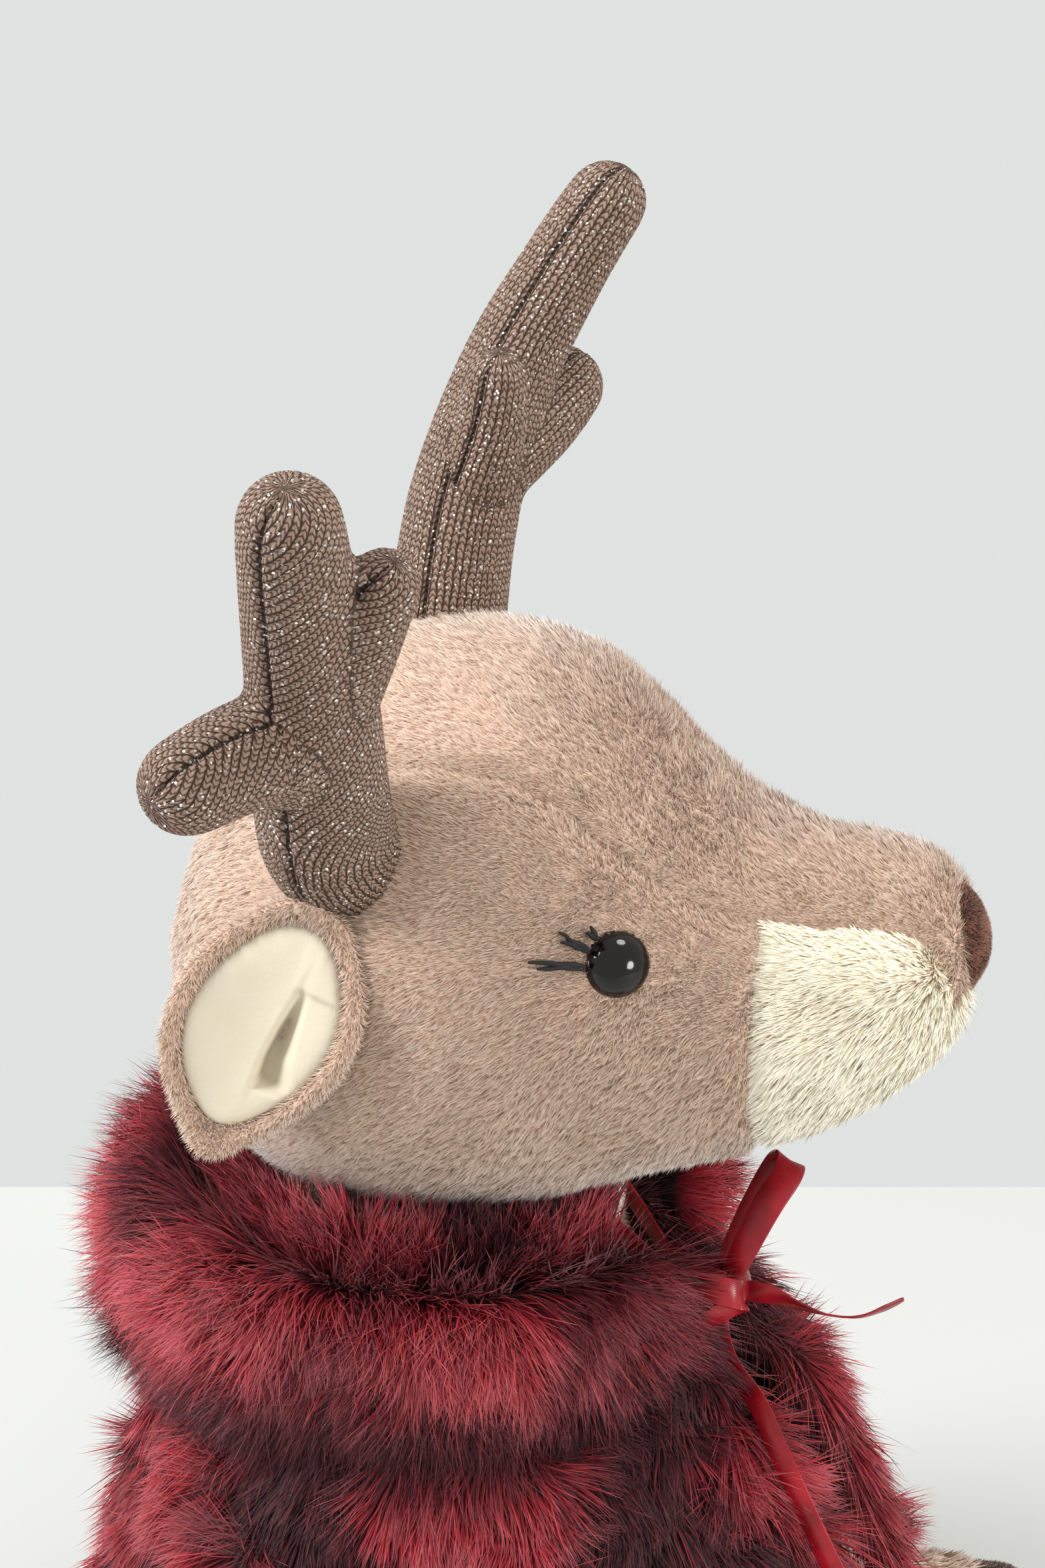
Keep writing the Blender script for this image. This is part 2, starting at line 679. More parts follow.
def make_head():
    share = 1 / cos(pi / 12)
    rings = []
    for along, rise, tall, wide in HEAD_ROWS:
        half, high = HEAD_WIDTH / 2 * wide * share, HEAD_HEIGHT / 2 * tall * share
        turns = [2 * pi * i / 12 for i in range(12)]
        rings.append([(half * cos(turn), HEAD_BACK - HEAD_LENGTH * along,
                       HEAD_RISE + HEAD_HEIGHT * rise + high * sin(turn)) for turn in turns])
    ob = cage("head", rings, (0, HEAD_BACK, HEAD_RISE - HEAD_HEIGHT * 0.076),
              (0, HEAD_BACK - HEAD_LENGTH, HEAD_RISE + HEAD_HEIGHT * 0.023), 4)
    co, no = mesh_points(ob)
    co -= no * 0.0016 * seam_depth(co, 0.004)[:, None] ** 1.5
    co += no * (0.0012 + 0.0005 * noise3(co, 0.03, 5)[:, None])
    co -= no * 0.0014 * dimple(co)[:, None]
    set_points(ob, co)
    return dress(ob, tan_ground, "head", "tan_plush", "head_panel_left", "head_panel_right", "head_gusset",
                 "muzzle_panel_left", "muzzle_panel_right", "head_stuffing", fill=0.9)


EYES = {side: np.array([side * 0.050, -0.0566, 0.2834]) for side in (-1, 1)}
NOSE = np.array([0.0, HEAD_BACK - HEAD_LENGTH + 0.010, HEAD_RISE + HEAD_HEIGHT * 0.023 + 0.0025])


def make_head_fur(head):
    place, normal = scatter(surface_of(head), 6.0)
    keep = np.ones(len(place), bool)
    for side in (-1, 1):
        keep &= np.linalg.norm(place - EYES[side], axis=1) > 0.0068
    keep &= ~((np.linalg.norm((place - NOSE) / np.array([0.0152, 0.0132, 0.0147]), axis=1) < 1.0))
    keep &= ~((np.hypot(place[:, 0], place[:, 1] + 0.004) < 0.030) & (place[:, 2] < 0.25))
    place, normal = place[keep], normal[keep]
    gusset = (np.abs(place[:, 0]) < gusset_half(place[:, 1])) & (place[:, 2] > HEAD_RISE)
    cream = (place[:, 1] < SEAM_Y) & ~gusset
    comb = np.zeros_like(place)
    comb[:, 1] = 1.1
    comb[:, 2] = -0.6 * ease(normal[:, 2], 0.5, 0.0) - 1.2 * ease(normal[:, 1], 0.45, 0.9)
    comb += 0.2 * swirl(place, 0.035, 1) + 0.18 * swirl(place, 0.009, 5)
    comb[cream] = comb[cream] * 1.5 + 0.15 * swirl(place[cream], 0.008, 15)
    comb = across_surface(comb, normal)
    parted = 0.4 * seam_depth(place, 0.0012) + 0.5 * dimple(place) + 0.15 * ease(place[:, 1], -0.07, -0.10)
    tint = np.stack([np.clip(rng.random(len(place)) + parted, 0, 1), noise3(place, 0.02, 9)], 1)
    length = uneven(0.0025, len(place)) * (1 - 0.35 * seam_depth(place, 0.002))
    length = np.where(cream, length * 1.35, length)
    for label, mask, material, slot, width, stray, clump in (
            ("tan", ~cream, tan_pile, "tan_plush", 0.00024, 0.2, (7, 0.2)),
            ("cream", cream, cream_pile, "cream_plush", 0.00042, 0.13, (5, 0.1))):
        in_batches("head_pile_" + label, place[mask], normal[mask], comb[mask], length[mask], PLUSH_LIMIT,
                   width, 1, material, "head", slot, tint=tint[mask], stray=stray, upright=0.0, clump=clump)


def make_nose():
    co, faces = dome_grid(48, 24)
    shape = np.array([0.0148, 0.0128, 0.0143])
    ob = mesh_object("nose", NOSE + co * shape, [faces])
    dress(ob, nose_ground, "head", "nose_velvet", "nose")
    place, normal = scatter(surface_of(ob), 16, lambda p, n: p[:, 1] < NOSE[1] + 0.004)
    comb = across_surface(np.array([0, 0.5, -0.3]) + 0.4 * swirl(place, 0.01, 3), normal)
    length = np.full(len(place), 0.0013)
    pile("nose_pile", place, normal, comb, length, 0.00026, 1, nose_pile, "head", "nose_velvet",
         rng.random((len(place), 2)), stray=0.25)


def dome_grid(around, down):
    """Points and quads of a closed unit ball."""
    rows = np.linspace(0.004, pi - 0.004, down + 1)
    turns = np.arange(around) * 2 * pi / around
    co = np.stack([np.outer(np.sin(rows), np.cos(turns)), np.outer(np.sin(rows), np.sin(turns)),
                   np.outer(np.cos(rows), np.ones(around))], 2).reshape(-1, 3)
    i, j = np.meshgrid(np.arange(down), np.arange(around), indexing="ij")
    k = (j + 1) % around
    quads = np.stack([i * around + j, (i + 1) * around + j, (i + 1) * around + k, i * around + k], 2)
    return co, quads.reshape(-1, 4)


def make_eye(side, word):
    """A domed, glossy eye with a rounded rim, seated in the pile."""
    rise, turn_in = radians(17), radians(32)
    look = Vector((side * cos(rise) * cos(turn_in), -cos(rise) * sin(turn_in), sin(rise)))
    co, quads = dome_grid(64, 32)
    radius, dome = 0.00725, 0.0060
    co[:, 2] = np.where(co[:, 2] > 0, co[:, 2] * dome, co[:, 2] * 0.003)
    co[:, :2] *= radius
    turn = look.to_track_quat("Z", "Y").to_matrix()
    base = eye_base("eye_" + word, look, dome)
    co = co @ np.array(turn).T + np.array(base)
    ob = mesh_object("eye_dome_" + word, co, [quads])
    return dress(ob, gloss, "head", "eye_plastic", "eye_" + word)


def eye_base(name, look, dome):
    co, _ = mesh_points(nodes[name])
    reach = co @ np.array(look)
    tip = co[reach > reach.max() - 0.0002].mean(0)
    return tip - np.array(look) * dome * 0.92


def make_lashes(side, word):
    """Each lash is a pair of thick threads, laid on the pile from the eye's edge outwards."""
    look = np.array([side * 0.811, -0.507, 0.292])
    for number in (1, 2, 3):
        name = f"lash{number}_{word}"
        co, _ = mesh_points(nodes[name])
        middle = co.mean(0)
        along = np.linalg.svd(co - middle, full_matrices=False)[2][0]
        reach = ((co - middle) @ along).max()
        ends = (middle - along * reach, middle + along * reach)
        ends = sorted(ends, key=lambda p: np.linalg.norm(p - EYES[side]))
        run = ends[1] - ends[0]
        beside = unit(np.cross(look, run))
        threads = []
        for strand, (apart, spread, stretch) in enumerate(((-0.0003, -0.0001, 1.45), (0.0003, 0.0003, 1.2))):
            steps = np.linspace(-0.2, stretch, 9)[:, None]
            route = ends[0] + run * steps + look * (0.0021 + 0.0006 * np.sin(steps * 2.4))
            waver = 0.00022 * swirl(route, 0.003, 10 * number + strand)
            route = route + beside * (apart + spread * steps ** 2) + waver
            radii = np.interp(steps[:, 0], [-0.2, 0.3, 0.8, stretch], [0.0005, 0.00065, 0.0006, 0.00035])
            threads.append(tube(f"thread{strand}", route, radii, 10))
        dress(joined("stitch_" + name, threads), black_thread, "head", "lash_thread", name)


def joined(name, parts):
    bm = bmesh.new()
    for part in parts:
        bm.from_mesh(part.data)
        bpy.data.objects.remove(part, do_unlink=True)
    mesh = bpy.data.meshes.new(name)
    bm.to_mesh(mesh)
    bm.free()
    mesh.shade_smooth()
    return link(bpy.data.objects.new(name, mesh))


# ears
EAR_LENGTH, EAR_WIDTH, EAR_CUP = 0.060, 0.039, 0.010


def ear_frame(side):
    root = np.array([side * HEAD_WIDTH / 2 * 0.985, HEAD_BACK * 0.157, HEAD_RISE + HEAD_HEIGHT * 0.251])
    tip = np.array([side * HEAD_WIDTH / 2 * 1.165, HEAD_BACK * 0.481, HEAD_RISE - HEAD_HEIGHT * 0.167])
    down = unit(tip - root)
    outward = np.array([side * cos(radians(18)), -sin(radians(6)), sin(radians(18))])
    outward = unit(outward - down * (outward @ down))
    return root, np.cross(down, outward), down, outward


def ear_turned(frame_of, reach, turn):
    """Shares down and across the ear; its corners lie high at the front and low at the back."""
    handed = -np.sign(frame_of[1][1] * frame_of[3][0])
    corner = 1 + 0.09 * np.sin(2 * turn) * handed
    return 0.5 + 0.5 * reach * corner * np.sin(turn), reach * corner * np.cos(turn)


LINING_REACH, LINING_PUFF = 0.82, 0.0054


def ear_half_width(u):
    return EAR_WIDTH / 2 * (1.0 - 0.24 * (2 * u - 1) ** 2 - 0.06 * (2 * u - 1))


def ear_leaf(frame_of, reach, turn, lift):
    """Points of the ear at shares of its reach and turn, lifted off its cupped face."""
    root, across, down, outward = frame_of
    u, v = ear_turned(frame_of, reach, turn)
    wide = ear_half_width(u)
    depth = EAR_CUP * (1 - v * v) * np.sin(pi * np.clip(u, 0, 1)) ** 0.5
    x, y, z = v * wide, u * EAR_LENGTH, lift - depth
    return root + x[..., None] * across + y[..., None] * down + z[..., None] * outward


def ear_fold(u, back):
    """Shares of the lining's fullness: a pocket between its laps, and a small lap above the front one."""
    line = np.interp(u, [0.0, 0.20, 0.35, 0.50, 0.62, 0.75, 1.0],
                     [-0.30, -0.34, -0.26, -0.17, -0.12, -0.12, -0.16])
    wide = np.interp(u, [0.2, 0.4, 0.6, 0.75], [0.03, 0.06, 0.11, 0.20])
    past = back - line
    far_wall = ease(past, 0.02, -0.05)
    near_wall = ease(-past, 3.4 * wide, 0.7 * wide)
    pocket = far_wall * near_wall * ease(u, 0.27, 0.55) * ease(u, 0.745, 0.69)
    back_lap = 0.16 * ease(past, -0.03, 0.08) * ease(u, 0.05, 0.30) * ease(u, 0.85, 0.65)
    flap = 0.30 * ease(u, 0.335, 0.30) * ease(back, -0.14, -0.46)
    crown = 0.10 * np.cos(3.0 * back + 1.0) * ease(u, 0.2, 0.5)
    return 0.92 - pocket + back_lap + flap + crown


def ear_reach(frame_of, place):
    """How far out towards the ear's edge a place lies: 1 at the edge."""
    root, across, down, _ = frame_of
    u = (place - root) @ down / EAR_LENGTH
    v = (place - root) @ across / ear_half_width(u)
    handed = -np.sign(across[1] * frame_of[3][0])
    reach = np.hypot(2 * u - 1, v)
    return reach / (1 + 0.18 * (2 * u - 1) * v / (reach ** 2 + 1e-6) * handed)


def make_ear(side, word):
    frame_of = ear_frame(side)
    around, rings = 72, 22
    turns = np.arange(around) * 2 * pi / around
    reach = np.linspace(0.02, 1, rings)
    grid_r, grid_t = np.meshgrid(reach, turns, indexing="ij")
    roll = 0.0030 * np.exp(-((grid_r - 0.91) / 0.08) ** 2)
    edge = np.sqrt(np.clip(1 - grid_r ** 10, 0, 1))
    front = ear_leaf(frame_of, grid_r, grid_t, 0.0004 + roll * edge)
    behind = ear_leaf(frame_of, grid_r * 1.015, grid_t, -0.0042 * edge)
    co = np.concatenate([front.reshape(-1, 3), behind[::-1].reshape(-1, 3)])
    ob = ring_object("ear_shell_" + word, co, around)
    body = "ear_" + word
    dress(ob, tan_ground, body, "tan_plush", "ear_" + word, fill=0.5)
    outward = frame_of[3]

    around = 220
    turns = np.arange(around) * 2 * pi / around
    lining_r = np.linspace(0.01, LINING_REACH, 64)
    grid_r, grid_t = np.meshgrid(lining_r, turns, indexing="ij")
    u, v = ear_turned(frame_of, grid_r, grid_t)
    puff = LINING_PUFF * np.sqrt(np.clip(1 - (grid_r / LINING_REACH) ** 4, 0, 1))
    front = ear_leaf(frame_of, grid_r, grid_t, 0.0008 + puff * ear_fold(u, v * -side))
    under = ear_leaf(frame_of, grid_r, grid_t, -0.0006)
    co = np.concatenate([front.reshape(-1, 3), under[::-1].reshape(-1, 3)])
    lining = ring_object("ear_inside_" + word, co, around)
    dress(lining, velvet, body, "cream_plush", "ear_lining_" + word, fill=0.4)

    place, normal = scatter(surface_of(ob), 7.5)
    facing = normal @ outward
    inside = (facing > 0.0) & (ear_reach(frame_of, place) < 0.80)
    place, normal = place[~inside], normal[~inside]
    comb = across_surface(frame_of[2] * 0.6 + 0.3 * swirl(place, 0.02, 21), normal)
    length = uneven(0.0021, len(place))
    in_batches("ear_pile_" + word, place, normal, comb, length, PLUSH_LIMIT, 0.00028, 1, tan_pile, body,
               "tan_plush", tint=rng.random((len(place), 2)), stray=0.3)


# antlers
ANTLER_BALL, ANTLER_REACH, ANTLER_RADIUS = np.array([0, -0.004, 0.265]), 0.100, 0.0138
ANTLERS = {
    "right": ([(-0.46, 0.07, 0.35), (-0.56, 0.09, 0.47), (-0.66, 0.08, 0.77), (-0.80, 0.06, 1.05),
               (-0.92, 0.04, 1.28)],
              [(-0.64, 0.09, 0.69), (-0.79, 0.17, 0.74), (-0.94, 0.26, 0.73)],
              [(-0.67, 0.06, 0.80), (-0.73, -0.03, 0.97), (-0.80, -0.11, 1.13)]),
    "left": ([(0.46, 0.08, 0.34), (0.56, 0.10, 0.45), (0.64, 0.07, 0.77), (0.72, -0.02, 1.08),
              (0.80, -0.14, 1.32), (0.85, -0.23, 1.47)],
             [(0.67, 0.04, 0.86), (0.80, -0.06, 0.94), (0.89, -0.12, 1.00)],
             [(0.63, 0.05, 0.80), (0.61, 0.00, 0.97), (0.60, -0.02, 1.10)])}
ANTLER_SHARES = [[1.00, 1.05, 0.98, 0.85, 0.74, 0.68], [0.90, 0.82, 0.72], [0.80, 0.64, 0.50]]


def smooth_route(points, values, steps):
    """A Catmull-Rom curve through the points, with the values carried along it."""
    points = [np.asarray(p, float) for p in points]
    route, carried = [], []
    last = len(points) - 1
    for i in range(last):
        a, b, c, d = points[max(i - 1, 0)], points[i], points[i + 1], points[min(i + 2, last)]
        for k in range(steps):
            t = k / steps
            route.append(0.5 * (2 * b + (c - a) * t + (2 * a - 5 * b + 4 * c - d) * t * t
                                + (3 * b - a - 3 * c + d) * t ** 3))
            carried.append(values[i] + (values[i + 1] - values[i]) * t)
    return np.array(route + [points[-1]]), np.array(carried + [values[-1]])


def tube(name, route, radii, sides):
    """A closed round tube with domed ends."""
    ahead = unit(route[-1] - route[-2])
    back = unit(route[0] - route[1])
    steps = [k * pi / 2 / 6.3 for k in range(1, 7)]
    tail = [(route[-1] + ahead * radii[-1] * sin(t), radii[-1] * cos(t)) for t in steps]
    nose_end = [(route[0] + back * radii[0] * sin(t), radii[0] * cos(t)) for t in reversed(steps)]
    route = np.array([p for p, _ in nose_end] + list(route) + [p for p, _ in tail])
    radii = np.array([r for _, r in nose_end] + list(radii) + [r for _, r in tail])
    tangent = unit(np.gradient(route, axis=0))
    turns = np.arange(sides) * 2 * pi / sides
    first = unit(np.cross(tangent, np.array([0.31, 0.72, 0.18])))
    second = np.cross(tangent, first)
    cosine, sine = np.cos(turns)[None, :, None], np.sin(turns)[None, :, None]
    ring = first[:, None, :] * cosine + second[:, None, :] * sine
    return ring_object(name, (route[:, None, :] + ring * radii[:, None, None]).reshape(-1, 3), sides)


def straight_share(word, number, along):
    """Where the knit's columns run straight along a branch: 1 there, and 0 where they wind round it."""
    if word == "right" and number == 0:
        return 1 - ease(along, 0.014, 0.034)
    return np.full(len(along), float(word == "left"))


def make_antler(word):
    routes = []
    for number, points in enumerate(ANTLERS[word]):
        shares = ANTLER_SHARES[number]
        places = [ANTLER_BALL + np.array(p) * ANTLER_REACH for p in points]
        routes.append(smooth_route(places, [ANTLER_RADIUS * s for s in shares[:len(places)]], 8))
    parts = [tube(f"antler_part{number}", route, radii, 40) for number, (route, radii) in enumerate(routes)]
    ob = joined("antler_knit_" + word, parts)
    mod = ob.modifiers.new("even", "REMESH")
    mod.mode = "VOXEL"
    mod.voxel_size = 0.0012
    mod = ob.modifiers.new("soft", "SMOOTH")
    mod.factor, mod.iterations = 0.5, 9
    mod = ob.modifiers.new("fine", "SUBSURF")
    mod.levels = mod.render_levels = 1
    apply(ob)
    ob.data.shade_smooth()
    co, no = mesh_points(ob)
    facing = unit(np.array(view_back) - np.array(view_right) * 0.42)
    best = np.full(len(co), 1e9)
    column, stitch, from_seam = np.zeros(len(co)), np.zeros(len(co)), np.zeros(len(co))
    for number, (route, radii) in enumerate(routes):
        gaps = np.linalg.norm(co[:, None, :] - route[None, :, :], axis=2)
        near = gaps.argmin(1)
        length = np.concatenate([[0], np.cumsum(np.linalg.norm(np.diff(route, axis=0), axis=1))])
        tangent = unit(np.gradient(route, axis=0))[near]
        offset = co - route[near]
        s = length[near] + (offset * tangent).sum(1)
        radial = unit(offset - tangent * (offset * tangent).sum(1, keepdims=True))
        front = unit(facing - tangent * (tangent @ facing)[:, None])
        angle = np.arctan2((np.cross(front, radial) * tangent).sum(1), (front * radial).sum(1))
        way = np.abs(angle) * radii[near] / MM
        straight = straight_share(word, number, s)
        grid = np.linspace(-0.02, length[-1] + 0.02, 400)
        held = straight_share(word, number, grid)
        run = np.interp(s, grid, np.cumsum(0.76 * (1 - held)) * (grid[1] - grid[0]) / MM)
        share = gaps.min(1) / radii[near]
        better = share < best
        best = np.where(better, share, best)
        column = np.where(better, (way * (0.65 + 0.35 * straight) - run) / COLUMN_PITCH, column)
        stitch = np.where(better, (s / MM + way * 0.8 * (1 - straight)) / STITCH_PITCH, stitch)
        from_seam = np.where(better, way, from_seam)
    wave = 1 - (2 * np.abs(column % 1 - 0.5)) ** 2.5
    seam = np.exp(-(from_seam / 0.9) ** 2)
    co += no * ((wave - 0.6) * 0.0005 - seam * 0.0011)[:, None]
    set_points(ob, co)
    point_colour(ob, "knit", np.stack([column, stitch, from_seam], 1))
    return dress(ob, knit, "head", "antler_knit", "antler_" + word, fill=1.0)


# torso, limbs and tail
def make_torso():
    share = 1 / cos(pi / 12)
    rings = []
    for height, half, back, front in [
            (0.012, .60, .62, .62), (0.110, .88, .90, .90), (0.263, 1, 1, 1), (0.447, .98, .97, .98),
            (0.632, .89, .87, .91), (0.789, .76, .74, .82), (0.905, .65, .64, .77),
            (1.0, .5882, .5806, .7576)]:
        ring = []
        for i in range(12):
            turn = 2 * pi * i / 12
            reach = 0.062 * back if cos(turn) > 0 else 0.066 * front
            ring.append((0.068 * half * share * sin(turn), reach * share * cos(turn), 0.190 * height))
        rings.append(ring)
    ob = cage("torso", rings, (0, 0, 0.0), (0, 0, 0.194), 4)
    co, no = mesh_points(ob)
    co += no * 0.0009 * noise3(co, 0.035, 8)[:, None]
    co[:, 2] = np.maximum(co[:, 2], 0.0006)
    set_points(ob, co)
    dress(ob, tan_ground, "torso", "tan_plush", "torso_cover", "torso_stuffing", "pellet_bag", fill=0.8)
    place, normal = scatter(surface_of(ob), 1.6, lambda p, n: (p[:, 2] > 0.0015) & (n[:, 2] > -0.8)
                            & ((p[:, 2] < 0.075) | ((np.abs(p[:, 0]) < 0.035) & (p[:, 1] < 0))))
    comb = across_surface(np.array([0, 0, -0.9]) + 0.35 * swirl(place, 0.03, 41), normal)
    length = uneven(0.0036, len(place))
    in_batches("torso_pile", place, normal, comb, length, PLUSH_LIMIT, 0.0006, 1, tan_pile, "torso",
               "tan_plush", tint=rng.random((len(place), 2)), upright=0.05)


def soft_piece(node, voxel, smooth, cloth, body, per_mm2, length, width, lean, keep=None, wrinkle=0.0006):
    """One stuffed piece from its CAD node: its covering and its pile. cloth is ground, pile and slot."""
    ground, covering, slot = cloth
    ob = welded(node + "_form", node, voxel, smooth)
    co, no = mesh_points(ob)
    co += no * wrinkle * noise3(co, 0.02, 51)[:, None]
    low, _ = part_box(node)
    co[:, 2] = np.maximum(co[:, 2], low[2])
    set_points(ob, co)
    dress(ob, ground, body, slot, node, fill=0.9)
    place, normal = scatter(surface_of(ob), per_mm2, keep)
    comb = across_surface(np.array(lean) + 0.35 * swirl(place, 0.02, 61), normal)
    lengths = uneven(length, len(place))
    in_batches(node + "_pile", place, normal, comb, lengths, PLUSH_LIMIT, width, 1, covering, body, slot,
               tint=rng.random((len(place), 2)), upright=0.05)
    return ob


def off_ground(place, normal):
    return (normal[:, 2] > -0.75) & (place[:, 2] > 0.001)


def faces_front(place, normal):
    return (normal[:, 1] < 0).astype(float)


def make_limbs():
    tan = (tan_ground, tan_pile, "tan_plush")
    hoof = (hoof_ground, hoof_pile, "hoof_suede")
    cream = (cream_ground, cream_pile, "cream_plush")
    for _, word in BOTH:
        arm, leg = "arm_" + word, "leg_" + word
        soft_piece("front_leg_" + word, 0.0018, 6, tan, arm, 1.6, 0.0034, 0.0006, (0, -0.3, -0.8))
        soft_piece("front_hoof_" + word, 0.0016, 6, hoof, arm, 5, 0.0014, 0.0004, (0, -0.3, -0.6))
        soft_piece("hind_leg_" + word, 0.0018, 6, tan, leg, 1.6, 0.0034, 0.0006, (0, -0.9, -0.2), off_ground)
        soft_piece("hind_hoof_" + word, 0.0016, 6, hoof, leg, 5, 0.0014, 0.0004, (0, -0.7, -0.2), off_ground)
    soft_piece("tail", 0.0012, 5, tan, "tail", 3, 0.0055, 0.0005, (0, 0.9, 0))
    soft_piece("chest_panel", 0.0007, 3, cream, "torso", 2.5, 0.0034, 0.0005, (0, 0, -0.8), faces_front, 0.0)
    soft_piece("throat_panel", 0.0007, 3, cream, "neck", 3, 0.0025, 0.0005, (0, 0, -0.8), faces_front, 0.0)
    core = welded("neck_filling", "neck_core", levels=1)
    dress(core, tan_ground, "neck", "tan_plush", "neck_core", fill=0.9)
    place, normal = scatter(surface_of(core), 3,
                            lambda p, n: (p[:, 2] < 0.226) & (np.hypot(p[:, 0], p[:, 1]) > 0.02))
    comb = across_surface(np.array([0, 0, -0.6]) + 0.3 * swirl(place, 0.02, 62), normal)
    length = np.full(len(place), 0.003)
    in_batches("neck_pile", place, normal, comb, length, PLUSH_LIMIT, 0.0005, 1, tan_pile, "neck",
               "tan_plush", tint=rng.random((len(place), 2)))


# cape
NECK_AXIS = np.array([0, -0.006, 0])
CAPE_SHARES = np.array([
    (0.000, 0.462, 0.490, 0.430), (0.090, 0.565, 0.613, 0.537), (0.250, 0.740, 0.720, 0.690),
    (0.500, 0.874, 0.815, 0.845), (0.760, 0.952, 0.920, 0.945), (1.000, 1.000, 1.000, 1.000)])


def cape_grid(rows, columns, inset):
    """The hanging cape with its folds; angle 0 is at the slit on the deer's right."""
    drop = np.linspace(0, 1, rows)[:, None]
    angle = np.linspace(0, 2 * pi, columns)[None, :]
    sizes = [np.polyval(np.polyfit(CAPE_SHARES[:, 0], CAPE_SHARES[:, k], 4), drop) for k in (1, 2, 3)]
    half, back, front = (size * s for size, s in zip((0.099, 0.085, 0.130), sizes))
    slit = radians(15) + radians(11 - 15) * drop
    fold = 0.006 * drop * np.cos(6 * (angle - pi) + pi) - inset
    turn = slit + (2 * pi - 2 * slit) * angle / (2 * pi) - pi
    reach = np.where(np.cos(turn) > 0, back + fold, front + fold)
    x, y = (half + fold) * np.sin(turn), reach * np.cos(turn)
    z = 0.184 - 0.132 * drop + 0 * angle
    return np.stack([x, y, z], 2)


def shell_mesh(name, outer, inner):
    """A closed sheet between two grids of points."""
    rows, columns = outer.shape[:2]
    co = np.concatenate([outer.reshape(-1, 3), inner.reshape(-1, 3)])
    i, j = np.meshgrid(np.arange(rows - 1), np.arange(columns - 1), indexing="ij")
    face = np.stack([i * columns + j, (i + 1) * columns + j, (i + 1) * columns + j + 1, i * columns + j + 1],
                    2).reshape(-1, 4)
    shift = rows * columns
    top = np.arange(columns)
    low = (rows - 1) * columns + np.arange(columns)
    left = np.arange(rows) * columns
    right = left + columns - 1
    edges = []
    for line in (top, low, left, right):
        edges.append(np.stack([line[:-1], line[1:], line[1:] + shift, line[:-1] + shift], 1))
    ob = mesh_object(name, co, [face, face[:, ::-1] + shift, *edges])
    fix_normals(ob)
    return ob


def fur_patches(place, size, seed):
    """How red a place of the cape is: 1 on its bright lumps, 0 in its dark valleys."""
    cloud = noise3(place * np.array([1, 1, 0.8]), size, seed) + 0.35 * noise3(place, size * 0.35, seed + 1)
    return ease(cloud, -0.35, 0.45)


def make_cape():
    outer = cape_grid(90, 260, 0.0035)
    inner = cape_grid(90, 260, 0.0058)
    normal = unit(np.cross(np.gradient(outer, axis=1), np.gradient(outer, axis=0)))
    middle = outer - np.array([0, -0.01, 0])
    sign = np.sign((normal[..., :2] * middle[..., :2]).sum(2, keepdims=True))
    normal = normal * sign
    flat = outer.reshape(-1, 3)
    lump = (fur_patches(flat, 0.062, 71).reshape(outer.shape[:2]) - 0.5)[..., None] * 0.005
    ob = shell_mesh("cape_cloth", outer + normal * lump, inner + normal * lump)
    dress(ob, cape_ground, "torso", "cape_fur", "cape_body")
    place, normal = scatter(surface_of(ob), 2.2, lambda p, n: (n[:, :2] * (p[:, :2] + [0, 0.01])).sum(1) > 0)
    red = fur_patches(place, 0.062, 71) * (1 - 0.9 * ease(place[:, 2], 0.150, 0.166))
    comb = np.array([0, 0, -1.5]) + 0.6 * swirl(place, 0.045, 81) + 0.3 * swirl(place, 0.012, 91)
    comb = across_surface(comb, normal)
    length = 0.0155 * (0.85 + 0.3 * rng.random(len(place))) * (0.85 + 0.2 * red)
    fur = long_fur("cape_pile", place, normal, comb, length, 0.0005, 2, fur_tint(red * 0.85, 0.18),
                   stray=0.22, curl=0.06, clump=(80, 0.38), upright=0.25)
    fur.append(slit_fur(outer))


def slit_fur(outer):
    """Longer strands from the cape's two front edges, which meet over its slit."""
    count = 5200
    row = (rng.random(count) ** 1.3 * (len(outer) - 1)).astype(int)
    side = rng.integers(0, 2, count)
    step = rng.integers(0, 14, count)
    column = np.where(side == 0, step, outer.shape[1] - 1 - step)
    place = outer[row, column] + rng.normal(size=(count, 3)) * 0.0012
    normal = unit(place * np.array([1, 1, 0]) + np.array([0, 0.01, 0]))
    inward = -np.sign(place[:, 0])[:, None] * np.array([1, 0, 0])
    comb = inward * 0.8 + np.array([0, 0, -1.0]) + 0.35 * swirl(place, 0.02, 141)
    red = fur_patches(place, 0.03, 151) * 0.6
    tint = fur_tint(red, 0.2)
    length = 0.019 * (0.8 + 0.4 * rng.random(count))
    return pile("slit_pile", place, normal, comb, length, 0.0005, 3, cape_pile, "torso", "cape_fur", tint,
                stray=0.25, curl=0.08, clump=(60, 0.35), upright=0.25)


def long_fur(name, place, normal, comb, length, width, segments, tint, **how):
    return in_batches(name, place, normal, comb, length, FUR_LIMIT, width, segments, cape_pile, "torso",
                      "cape_fur", tint=tint, **how)


def places_outside(ob, least, keep=None):
    """Random places on a form round the neck that don't face in, with their normals and ways out."""
    place, normal = scatter(surface_of(ob), 5.0, keep)
    out = unit((place - NECK_AXIS) * np.array([1, 1, 0]))
    outside = (normal * out).sum(1) > least
    return place[outside], normal[outside], out[outside]


